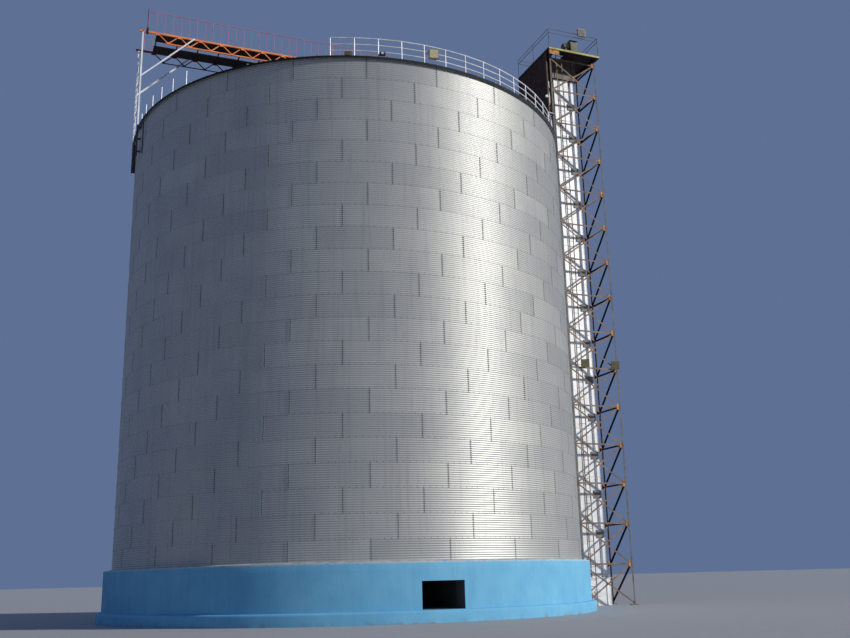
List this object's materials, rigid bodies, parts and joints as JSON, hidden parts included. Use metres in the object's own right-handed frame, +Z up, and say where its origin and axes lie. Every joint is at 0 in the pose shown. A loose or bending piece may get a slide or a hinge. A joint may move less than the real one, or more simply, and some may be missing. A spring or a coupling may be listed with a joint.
{
  "type": "grain silo with roof gallery and elevator tower",
  "caption": "Flat-bottomed corrugated steel grain silo on a painted concrete base, with eave railing, a truss gallery over its roof and a lattice bucket elevator tower.",
  "frame": {"origin": "on the ground, on the silo's vertical axis, in the middle of the foundation's underside", "axes": "+Z up; +X along the gallery from the silo's axis to the elevator tower; the doorway in the base faces -Y"},
  "size_m": [24.673, 21.22, 30.58],
  "materials": {
    "galvanised_sheet": "dull galvanised steel, corrugated on the wall",
    "base_paint": "light blue masonry paint on concrete",
    "bare_concrete": "cast concrete",
    "white_paint": "white gloss paint, weathered",
    "orange_paint": "orange primer paint",
    "red_paint": "faded red paint",
    "rusty_paint": "orange-brown paint with rust",
    "dark_sheet": "dark brown sheet steel, matt",
    "lamp_housing": "faded yellow-brown lamp housing",
    "grey_paint": "dark grey paint, matt",
    "green_paint": "machine green enamel"
  },
  "bodies": {
    "root": {"foundation_slab": "base_paint", "base_wall_front_right": "base_paint", "base_wall_back_right": "base_paint", "base_wall_back_left": "base_paint", "base_wall_front_left": "base_paint", "door_lintel": "base_paint", "silo_floor": "base_paint", "tunnel_wall_left": "bare_concrete", "tunnel_wall_right": "bare_concrete", "wall_segment_1": "galvanised_sheet", "wall_segment_2": "galvanised_sheet", "wall_segment_3": "galvanised_sheet", "wall_segment_4": "galvanised_sheet", "wall_segment_5": "galvanised_sheet", "wall_segment_6": "galvanised_sheet", "roof_sector_1": "galvanised_sheet", "roof_sector_2": "galvanised_sheet", "roof_sector_3": "galvanised_sheet", "roof_sector_4": "galvanised_sheet", "roof_sector_5": "galvanised_sheet", "roof_sector_6": "galvanised_sheet", "roof_collar": "galvanised_sheet", "eave_railing_1": "white_paint", "eave_railing_2": "white_paint", "eave_railing_3": "white_paint", "eave_railing_4": "white_paint", "eave_railing_5": "white_paint", "eave_railing_6": "white_paint", "gallery_truss_near": "orange_paint", "gallery_truss_far": "orange_paint", "gallery_deck": "dark_sheet", "gallery_railing_near": "red_paint", "gallery_railing_far": "red_paint", "gallery_conveyor": "galvanised_sheet", "fill_spout": "galvanised_sheet", "gallery_peak_frame": "galvanised_sheet", "mast_leg_near": "white_paint", "mast_leg_far": "white_paint", "mast_ladder": "white_paint", "tower_frame_front": "rusty_paint", "tower_frame_back": "rusty_paint", "tower_frame_back_top": "rusty_paint", "conveyor_bearer": "rusty_paint", "tower_bracing_left": "rusty_paint", "tower_bracing_right": "rusty_paint", "tower_ladder": "rusty_paint", "elevator_leg_up": "white_paint", "elevator_leg_down": "white_paint", "return_duct": "white_paint", "elevator_boot": "white_paint", "elevator_head": "grey_paint", "discharge_spout": "galvanised_sheet", "head_drive": "green_paint", "head_platform": "dark_sheet", "platform_railing": "rusty_paint", "head_room": "dark_sheet", "platform_floodlight": "lamp_housing"}
  },
  "joints": []
}
